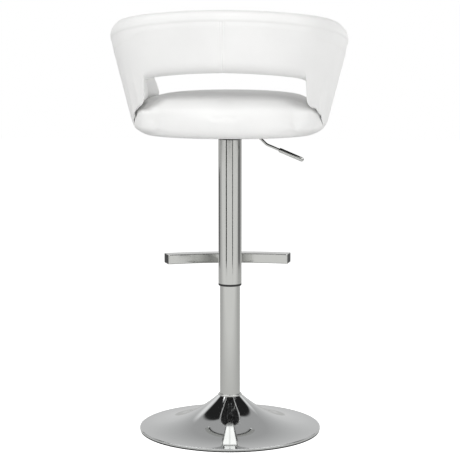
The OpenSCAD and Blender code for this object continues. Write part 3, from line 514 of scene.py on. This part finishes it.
# Section of the back at each t: outer lower arc, outer face, top arcs, inner face, inner lower arc.
# s runs 0 to 6 over these six parts; f is the share of the thickness and z the height.
# On the arms the lower arc meets the inner side, so that the arm's edge tucks under against the seat.
# Beside the seat's rear corners it comes lower, turns tighter and laps into the seat
def backSection(t, s, inset=0.0):
    q = backShape
    e = endRound(t)
    pull = e ** 0.6
    hi = mix(q["endHeight"], backTop(t), pull) - inset
    lo = mix(q["endHeight"], backBottom(t), pull) + inset
    tight = smooth((np.abs(t) - q["slotEnd"] + 2) / 6)
    thin = tight * smooth((q["cornerEnd"] - np.abs(t)) / q["cornerFade"])
    lo = lo - q["overlap"] * thin * e
    foot = np.minimum(mix(q["foot"], q["cornerFoot"], thin), (hi - lo) / q["edgeShare"])
    edge = np.minimum(q["edge"], (hi - lo) / q["edgeShare"])
    middle = q["share"] + q["core"] / q["thick"] / 2
    hem = mix(middle, q["hemShare"] + q["lap"] * thin, tight)
    part = np.clip(np.floor(s), 0, 5)
    w = s - part
    low = foot * np.where(part > 3, mix(1, q["hemTurn"], tight), 1)
    arc = np.radians(90 * np.where((part == 0) | (part == 3), 1 - w, w))
    up = np.where(part == 1, w, 1 - w)
    z = np.select([(part == 0) | (part == 5), (part == 1) | (part == 4)],
                  [lo + low * (1 - np.sin(arc)), lo + low + (hi - edge - lo - low) * up],
                  hi - edge * (1 - np.sin(arc)))
    side = np.where(part < 3, 0.0, 1.0)
    bend = np.where((part == 1) | (part == 4), 1.0, np.cos(arc))
    base = np.where((part == 0) | (part == 5), hem, middle)
    beside = smooth((q["touch"] - z) / q["touchFade"]) * tight * (side > 0)
    skin = (inset - (inset + q["press"]) * beside) / np.maximum(backDepth(t, z), 0.012)
    f = middle + e * (base + (side - base) * bend - middle)
    return f + np.where(side > 0, -skin, skin) * bend * e, z


def normalsOf(grid, roundCols):
    along = np.gradient(grid, axis=0)
    across = (np.roll(grid, -1, 1) - np.roll(grid, 1, 1)) if roundCols else np.gradient(grid, axis=1)
    n = np.cross(along, across)
    return n / np.maximum(np.linalg.norm(n, axis=-1, keepdims=True), 1e-12)


# Cloth: the cover is blown up a little from inside, held along its seams, and moves no further than most
clothSet = dict(pressure=4.0, frames=20, quality=6, stretch=30, bend=2.5, mass=0.35)


def puffed(name, points, faces, hold, most, c=clothSet):
    mesh = newMesh(name + "Form", points, faces)
    form = bpy.data.objects.new(name + "Form", mesh)
    bpy.context.scene.collection.objects.link(form)
    group = form.vertex_groups.new(name="held")
    for level in np.unique(np.round(hold, 1)):
        if level > 0:
            group.add(np.flatnonzero(np.round(hold, 1) == level).tolist(), float(level), "REPLACE")
    cloth = form.modifiers.new("cover", "CLOTH")
    cloth.settings.quality = c["quality"]
    cloth.settings.mass = c["mass"]
    cloth.settings.use_pressure = True
    cloth.settings.uniform_pressure_force = c["pressure"]
    cloth.settings.tension_stiffness = cloth.settings.compression_stiffness = c["stretch"]
    cloth.settings.shear_stiffness = c["stretch"] / 2
    cloth.settings.bending_stiffness = c["bend"]
    cloth.settings.effector_weights.gravity = 0
    cloth.settings.vertex_group_mass = "held"
    cloth.collision_settings.use_collision = False
    cloth.collision_settings.use_self_collision = False
    cloth.point_cache.frame_start, cloth.point_cache.frame_end = 1, c["frames"]
    scene = bpy.context.scene
    for step in range(1, c["frames"] + 1):
        scene.frame_set(step)
    ready = form.evaluated_get(bpy.context.evaluated_depsgraph_get())
    found = np.empty(len(mesh.vertices) * 3)
    ready.data.vertices.foreach_get("co", found)
    scene.frame_set(1)
    bpy.data.objects.remove(form)
    move = found.reshape(-1, 3) - points
    far = np.linalg.norm(move, axis=1)
    print(f"stool: {name} cover moved {far.mean() * 1000:.1f} mm on average, {far.max() * 1000:.1f} at most")
    return points + move * np.minimum(1, most / np.maximum(far, 1e-9))[:, None]


def finishCover(piece):
    finer = piece.modifiers.new("finer", "SUBSURF")
    finer.levels = finer.render_levels = 1


coverSet = dict(step=0.0065, inset=0.002, most=0.0045, seamDepth=0.0013, seamWidth=0.0022, hold=0.008,
                ridge=72.0, wrinkle=0.0030, rowGap=0.0052, rowWidth=0.0011, seatMost=0.003,
                seamRadius=0.262, gatherMiddle=62, gatherSpread=11, gatherTop=0.93, gatherLow=0.775)


# Groove beside a seam: a bell curve of the distance to it
def groove(distance, depth, width):
    return depth * np.exp(-(distance / width) ** 2)


def makeBack(c):
    q = backShape
    end, turn = q["armEnd"], q["endTurn"]
    step = math.degrees(c["step"] / c["seamRadius"])
    half = np.concatenate([[0, 0.25, 0.55, 0.85, 1.14, 1.43, 1.9],
                           np.arange(1.9 + step, 40, step), np.arange(40, 53, 0.45),
                           np.arange(53 + step / 2, end - turn, step),
                           end - turn + turn * np.sin(np.radians(np.linspace(4, 90, 16)))])
    t = np.concatenate([-half[:0:-1], half])[:, None]
    ridge = 2 + c["ridge"] / 90
    fine = np.array([-0.09, -0.045, -0.018, 0, 0.018, 0.045, 0.09])
    s = np.concatenate([np.linspace(0, 1, 7)[:-1], np.linspace(1, 1.93, 26)[:-1], 2 + fine,
                        np.linspace(2.16, ridge - 0.16, 5), ridge + fine, [ridge + 0.17],
                        np.linspace(3, 4, 8)[:-1], np.linspace(4, 5, 26)[:-1],
                        np.linspace(5, 6, 8)[:-1]])[None]
    f, z = backSection(t + 0 * s, s + 0 * t, c["inset"])
    grid = backPoint(t + 0 * s, f, z)
    rows, cols = grid.shape[:2]
    seamTop = np.abs(s - 2) * q["edge"] * 1.2 + 0 * t
    seamRidge = np.abs(s - ridge) * q["edge"] * 1.1 + 0 * t
    seamMiddle = np.where((s < 2) | (s > 3.2), np.radians(np.abs(t)) * c["seamRadius"], 1.0) + 0 * s * t
    low = np.minimum(s, 6 - s) * q["foot"] + 0 * t
    beside = np.where((s > 3) & (np.abs(t) > q["slotEnd"]), np.clip((0.835 - z) / 0.02, 0, 1), 0)
    near = np.minimum(np.minimum(seamTop, seamRidge), np.minimum(seamMiddle, low))
    hold = np.clip(1 - near / c["hold"], 0, 1) ** 0.8
    hold = np.maximum(np.maximum(hold, beside), np.clip((np.abs(t) - end + 4) / 3, 0, 1) + 0 * s)
    j = np.arange(cols // 2 - 1)
    cap = np.stack([j, cols - 1 - j, cols - 2 - j, j + 1], 1)
    faces = np.concatenate([gridFaces(rows, cols, False, True), (rows - 1) * cols + cap[:, ::-1], cap])
    start = grid.reshape(-1, 3)
    sign = 1.0 if np.mean(np.sum(normalsOf(grid, True)[:, 20] * grid[:, 20], -1)) > 0 else -1.0
    if sign < 0:
        faces = faces[:, ::-1]
    grid = puffed("back", start, faces, hold.reshape(-1), c["most"]).reshape(grid.shape)
    dent = (groove(seamTop, c["seamDepth"], c["seamWidth"])
            + groove(seamRidge, c["seamDepth"] * 0.8, c["seamWidth"])
            + groove(seamMiddle, c["seamDepth"], c["seamWidth"])
            + groove(seamMiddle - c["rowGap"], c["seamDepth"] * 0.6, c["rowWidth"]))
    # Gathers run down the arms' rear corners, strongest beside the seat: the sum of two slanted sines
    corner = np.exp(-((np.abs(t) - c["gatherMiddle"]) / c["gatherSpread"]) ** 2)
    corner = corner * np.clip((c["gatherTop"] - z) / 0.12, 0, 1) * (z > c["gatherLow"])
    folds = np.sin(np.radians(t * 41 + 260 * z * np.sign(t)))
    folds = folds + 0.6 * np.sin(np.radians(t * 73 + 900 * z + 40))
    dent = dent - c["wrinkle"] * corner * folds * (s < 2) * 0.5
    grid = grid - sign * normalsOf(grid, True) * dent[..., None]
    back = newPiece("backCover", grid, faces, whiteCover, "seat",
                    ["back_outer_pad", "back_inner_pad"])
    finishCover(back)
    return grid, sign, s[0], t[:, 0]


backGrid, backSign, backS, backT = makeBack(coverSet)
print("stool: back cover made")


# Seat: rings at heights z from the rim over the shoulder to the crown, closed under and over
def makeSeat(q, c):
    t = np.linspace(0, 360, 216, endpoint=False)[None]
    a = np.radians(np.linspace(0, 90, 26))
    shoulder = q["middle"] + (q["top"] - c["inset"] - q["middle"]) * np.sin(a) ** 0.9
    z = np.concatenate([np.linspace(q["rim"] + 0.0015, q["middle"], 9)[:-1], shoulder[:-3]])[:, None]
    lean = np.clip((z - q["rim"]) / (q["hem"] * 1.4), 0, 1)
    side = seatPlan(t, np.minimum(z, q["top"] - 0.0005)) - c["inset"] - q["hem"] * (1 - lean) ** 2
    # The rear corners swell out against the arms' lower edges
    turn = np.minimum(t, 360 - t)
    corner = smooth((turn - q["swellFrom"]) / 14) * smooth((q["swellTo"] - turn) / 16)
    side = side + q["swell"] * corner * smooth((z - q["rim"]) / 0.02) * smooth((q["swellTop"] - z) / 0.035)
    share = np.linspace(0.93, 0, 26)[:, None]
    last = side[-1:] * share
    topZ = q["top"] - c["inset"] + 0 * last
    rise = (1 - share ** 2) * q["crown"]
    topZ = mix(z[-1], topZ, smooth(np.linspace(0.12, 1, 26) * 2.2)[:, None]) + rise
    inner = seatOutline(t, q["board"] + 0.0015)
    under = np.concatenate([0.02 * inner, 0.5 * inner, inner, inner])
    underZ = np.array([[q["boardTop"]], [q["boardTop"]], [q["boardTop"]], [q["rim"] + 0.0012]])
    r = np.concatenate([under, side, last])
    z = np.concatenate([underZ + 0 * under, z + 0 * side, topZ])
    grid = np.stack([r * np.sin(np.radians(t)), -r * np.cos(np.radians(t)), z + 0 * t], -1)
    rows, cols = grid.shape[:2]
    faces = gridFaces(rows, cols, False, True)[:, ::-1]
    points = np.concatenate([grid[:-1].reshape(-1, 3), [[0, 0, q["boardTop"]], grid[-1, 0]]])
    n = (rows - 1) * cols
    faces = faces[(faces < n).all(1)].tolist()
    k = np.arange(cols)
    faces += np.stack([k, (k + 1) % cols, 0 * k + n], 1).tolist()
    faces += np.stack([n - cols + (k + 1) % cols, n - cols + k, 0 * k + n + 1], 1).tolist()
    hold = np.zeros(len(points))
    hold[:n] = (np.clip(1 - (grid[:-1, :, 2] - q["rim"]) / 0.03, 0, 1)).reshape(-1)
    hold[:5 * cols] = 1
    hold[n] = 1
    points = puffed("seat", points, faces, hold, c["seatMost"])
    seat = newPiece("seatCover", points, faces, whiteCover, "seat", ["seat_cushion"])
    outward(seat)
    finishCover(seat)


makeSeat(seatShape, coverSet)
print("stool: seat cover made")


stitchSet = dict(length=0.0034, thick=0.00042, pitch=0.0052, proud=0.00015, besideTop=1.865, besideRidge=0.15)


# One stitch is a six-sided bead; all of a row is one array of beads laid along a line on the cover
def stitchRow(line, normal, c):
    length = np.concatenate([[0], np.cumsum(np.linalg.norm(np.diff(line, axis=0), axis=1))])
    at = np.arange(c["pitch"] / 2, length[-1], c["pitch"])
    place = np.stack([np.interp(at, length, line[:, k]) for k in range(3)], 1)
    up = np.stack([np.interp(at, length, normal[:, k]) for k in range(3)], 1)
    up /= np.linalg.norm(up, axis=1)[:, None]
    way = np.stack([np.interp(at, length, np.gradient(line[:, k], length)) for k in range(3)], 1)
    way -= np.sum(way * up, axis=1)[:, None] * up
    way /= np.linalg.norm(way, axis=1)[:, None]
    across = np.cross(up, way)
    u = np.array([-0.5, -0.42, -0.2, 0.2, 0.42, 0.5])
    fat = np.array([0.12, 0.75, 1, 1, 0.75, 0.12])
    sink = np.array([-0.9, -0.2, 0.35, 0.35, -0.2, -0.9]) * c["thick"]
    a = np.radians(np.arange(0, 360, 60))
    wide = fat[:, None, None] * c["thick"]
    bead = (u[:, None, None] * c["length"] * way[:, None, None, :].repeat(6, 1)
            + (sink[:, None, None] + wide * np.sin(a)[:, None]) * up[:, None, None, :]
            + wide * np.cos(a)[:, None] * across[:, None, None, :])
    bead = bead + (place + up * c["proud"])[:, None, None, :]
    caps = [[5, 4, 3, 2], [5, 2, 1, 0], [30, 31, 32, 33], [30, 33, 34, 35]]
    one = np.concatenate([gridFaces(6, 6, False, True), caps])
    faces = one[None] + 36 * np.arange(len(at))[:, None, None]
    return bead.reshape(-1, 3), faces.reshape(-1, 4)


# The row of a grid that lies at a level between its own rows
def rowAt(grid, levels, level):
    k = np.searchsorted(levels, level) - 1
    return mix(grid[k], grid[k + 1], (level - levels[k]) / (levels[k + 1] - levels[k]))


def makeStitches(c):
    normal = normalsOf(backGrid, True) * backSign
    rows = []
    turn = math.degrees(coverSet["rowGap"] / coverSet["seamRadius"])
    for span in ((backS > 0.9) & (backS < 1.93), (backS > 3.9) & (backS < 5.1)):
        rows += [(rowAt(backGrid, backT, want)[span], rowAt(normal, backT, want)[span])
                 for want in (-turn, turn)]
    keep = np.abs(backT) < backShape["armEnd"] - 5
    byHeight, normalByHeight = backGrid.swapaxes(0, 1), normal.swapaxes(0, 1)
    for level in (c["besideTop"], 2 + coverSet["ridge"] / 90 + c["besideRidge"]):
        rows.append((rowAt(byHeight, backS, level)[keep], rowAt(normalByHeight, backS, level)[keep]))
    points, faces, count = [], [], 0
    for line, up in rows:
        p, f = stitchRow(line, up, c)
        points.append(p)
        faces.append(f + count)
        count += len(p)
    threads = newPiece("seamThreads", np.concatenate(points), np.concatenate(faces), threadFinish,
                       "seat")
    outward(threads)
    print(f"stool: {count // 36} stitches made")


makeStitches(stitchSet)


studioSet = dict(floorSize=9.0, floorGlow=0.75, floorMirror=(0.80, 0.52), worldLevel=0.34, sweep=(0.68, 0.44),
                 room=[((-9, 140), (-9, 99), 1.5, 0.22), ((-9, 100), (28, 66), 1.5, 2.0),
                       ((-9, 10), (28, 66), 1.0, 1.5), ((-9, 189), (69, 99), 1.5, 0.02),
                       ((100, 141), (39, 99), 2.0, 0.02), ((120, 149), (15, 36), 3.0, 0.95)],
                 keyLamp=(80, 2.2, (-2.0, -2.4, 2.6), (0, 0, 0.8)),
                 fillLamp=(50, 2.4, (2.6, -1.8, 1.6), (0, 0, 0.7)),
                 insideLamp=(16, 1.2, (1.7, 1.9, 1.25), (-0.15, -0.15, 0.85)),
                 topLamp=(3, 2.6, (0.2, 0.9, 3.0), (0, 0, 0.8)))


# One from low to high and nothing outside, with soft edges
def band(tree, value, low, high, soft):
    up = addNode(tree, "MapRange", {0: value, 1: low - soft, 2: low + soft, 3: 0.0, 4: 1.0})
    down = addNode(tree, "MapRange", {0: value, 1: high - soft, 2: high + soft, 3: 1.0, 4: 0.0})
    return addNode(tree, "Math", {0: up.outputs[0], 1: down.outputs[0]}, operation="MULTIPLY").outputs[0]


# Room: white to the camera and a plain level on matt surfaces. Mirrors see a grey sweep behind the stool,
# two broad soft boxes over the camera's side, with a gap between them, and a dark ceiling
def makeWorld(c):
    world.use_nodes = True
    tree = world.node_tree
    tree.nodes.clear()
    out = tree.nodes.new("ShaderNodeOutputWorld")
    path = tree.nodes.new("ShaderNodeLightPath")
    way = addNode(tree, "SeparateXYZ", {0: tree.nodes.new("ShaderNodeTexCoord").outputs["Generated"]})
    side = addNode(tree, "Math", {0: way.outputs[0]}, operation="ABSOLUTE")
    front = addNode(tree, "Math", {0: way.outputs[1], 1: -1.0}, operation="MULTIPLY")
    turn = addNode(tree, "Math", {0: side.outputs[0], 1: front.outputs[0]}, operation="ARCTAN2").outputs[0]
    height = addNode(tree, "Math", {0: way.outputs[2]}, operation="ARCSINE").outputs[0]
    low, high = c["sweep"]
    level = addNode(tree, "MapRange", {0: height, 1: 0.2, 2: 0.7, 3: low, 4: high}).outputs[0]
    for (turnLow, turnHigh), (low, high), soft, shown in c["room"]:
        r = math.radians
        share = addNode(tree, "Math", {0: band(tree, turn, r(turnLow), r(turnHigh), r(soft)),
                                       1: band(tree, height, r(low), r(high), r(soft))}, operation="MULTIPLY")
        level = addNode(tree, "MapRange", {0: share.outputs[0], 1: 0.0, 2: 1.0,
                                           3: level, 4: shown}).outputs[0]
    tone = addNode(tree, "CombineXYZ", {0: level, 1: level, 2: level}).outputs[0]
    plain = (c["worldLevel"],) * 3 + (1,)
    mirror = addNode(tree, "MixRGB", {0: path.outputs["Is Glossy Ray"], 1: plain, 2: tone})
    seen = addNode(tree, "MixRGB", {0: path.outputs["Is Camera Ray"], 1: mirror.outputs[0], 2: (1, 1, 1, 1)})
    glow = addNode(tree, "Background", {"Color": seen.outputs[0], "Strength": 1.0})
    tree.links.new(glow.outputs[0], out.inputs["Surface"])


makeWorld(studioSet)


# Floor: pale and matt, glowing just enough to read white outside the object's shadow
def makeFloor(c):
    mat = bpy.data.materials.new("paleFloor")
    mat.use_nodes = True
    tree = mat.node_tree
    tree.nodes.clear()
    out = tree.nodes.new("ShaderNodeOutputMaterial")
    path = tree.nodes.new("ShaderNodeLightPath")
    matt = addNode(tree, "BsdfDiffuse", {"Color": (0.80, 0.80, 0.80, 1)})
    amount = addNode(tree, "Math", {0: path.outputs["Is Camera Ray"], 1: c["floorGlow"]},
                     operation="MULTIPLY")
    glow = addNode(tree, "Emission", {"Color": (1, 1, 1, 1), "Strength": amount.outputs[0]})
    both = addNode(tree, "AddShader", {0: matt.outputs[0], 1: glow.outputs[0]})
    place = addNode(tree, "SeparateXYZ", {0: tree.nodes.new("ShaderNodeTexCoord").outputs["Object"]})
    # Painted light: in mirrors the floor is a plain glow, brighter towards the camera's side (near) than
    # behind the stool (far)
    near, far = c["floorMirror"]
    level = addNode(tree, "MapRange", {0: place.outputs[1], 1: 0.3, 2: -1.2, 3: far, 4: near})
    mirror = addNode(tree, "Emission", {"Color": (1, 1, 0.985, 1), "Strength": level.outputs[0]})
    seen = addNode(tree, "MixShader", {0: path.outputs["Is Glossy Ray"], 1: both.outputs[0],
                                       2: mirror.outputs[0]})
    tree.links.new(seen.outputs[0], out.inputs["Surface"])
    s = c["floorSize"]
    mesh = bpy.data.meshes.new("studioFloor")
    mesh.from_pydata([(-s, -s, 0), (s, -s, 0), (s, s, 0), (-s, s, 0)], [], [(0, 1, 2, 3)])
    mesh.materials.append(mat)
    floor = bpy.data.objects.new("studioFloor", mesh)
    bpy.context.scene.collection.objects.link(floor)


makeFloor(studioSet)


# Cards: low upright sheets on a circle about the stool, seen only in its polished sleeve.
# Each is (middle, width) in degrees from the camera's side, then (low, high) in metres and its level
cardSet = dict(
    radius=2.6,
    strips=[(-36, 10, 0, 0.56, 0.0), (25.5, 7, 0, 0.56, 0.02), (104, 38, 0, 0.56, 0.2),
            (-126, 26, 0, 0.4, 0.12)],
)


def cardFinish(name, level):
    mat = bpy.data.materials.new(name)
    mat.use_nodes = True
    tree = mat.node_tree
    tree.nodes.clear()
    out = tree.nodes.new("ShaderNodeOutputMaterial")
    glow = addNode(tree, "Emission", {"Color": (1, 1, 1, 1), "Strength": level})
    tree.links.new(glow.outputs[0], out.inputs["Surface"])
    return mat


def makeCards(c):
    def place(name, points, faces, level):
        mesh = bpy.data.meshes.new(name)
        mesh.from_pydata(points, [], faces)
        mesh.materials.append(cardFinish(name, level))
        card = bpy.data.objects.new(name, mesh)
        bpy.context.scene.collection.objects.link(card)
        card.visible_camera = card.visible_diffuse = card.visible_shadow = False

    for k, (middle, width, low, high, level) in enumerate(c["strips"]):
        a = np.radians(np.linspace(middle - width / 2, middle + width / 2, 9) + cameraSet["azimuth"])
        ring = np.stack([np.sin(a), -np.cos(a)], 1) * c["radius"]
        points = [(*p, h) for h in (low, high) for p in ring]
        place(f"card{k}", points, gridFaces(2, 9).tolist(), level)


makeCards(cardSet)


def makeLamp(name, power, size, place, aim):
    data = bpy.data.lights.new(name, "AREA")
    data.energy, data.size = power, size
    lamp = bpy.data.objects.new(name, data)
    lamp.location = place
    way = np.array(aim) - np.array(place)
    tilt, heading = math.acos(-way[2] / np.linalg.norm(way)), math.atan2(way[1], way[0])
    lamp.rotation_euler = (tilt, 0, heading - math.pi / 2)
    lamp.visible_glossy = False
    bpy.context.scene.collection.objects.link(lamp)


for lampName in ("keyLamp", "fillLamp", "insideLamp", "topLamp"):
    makeLamp(lampName, *studioSet[lampName])
print("stool: studio made")
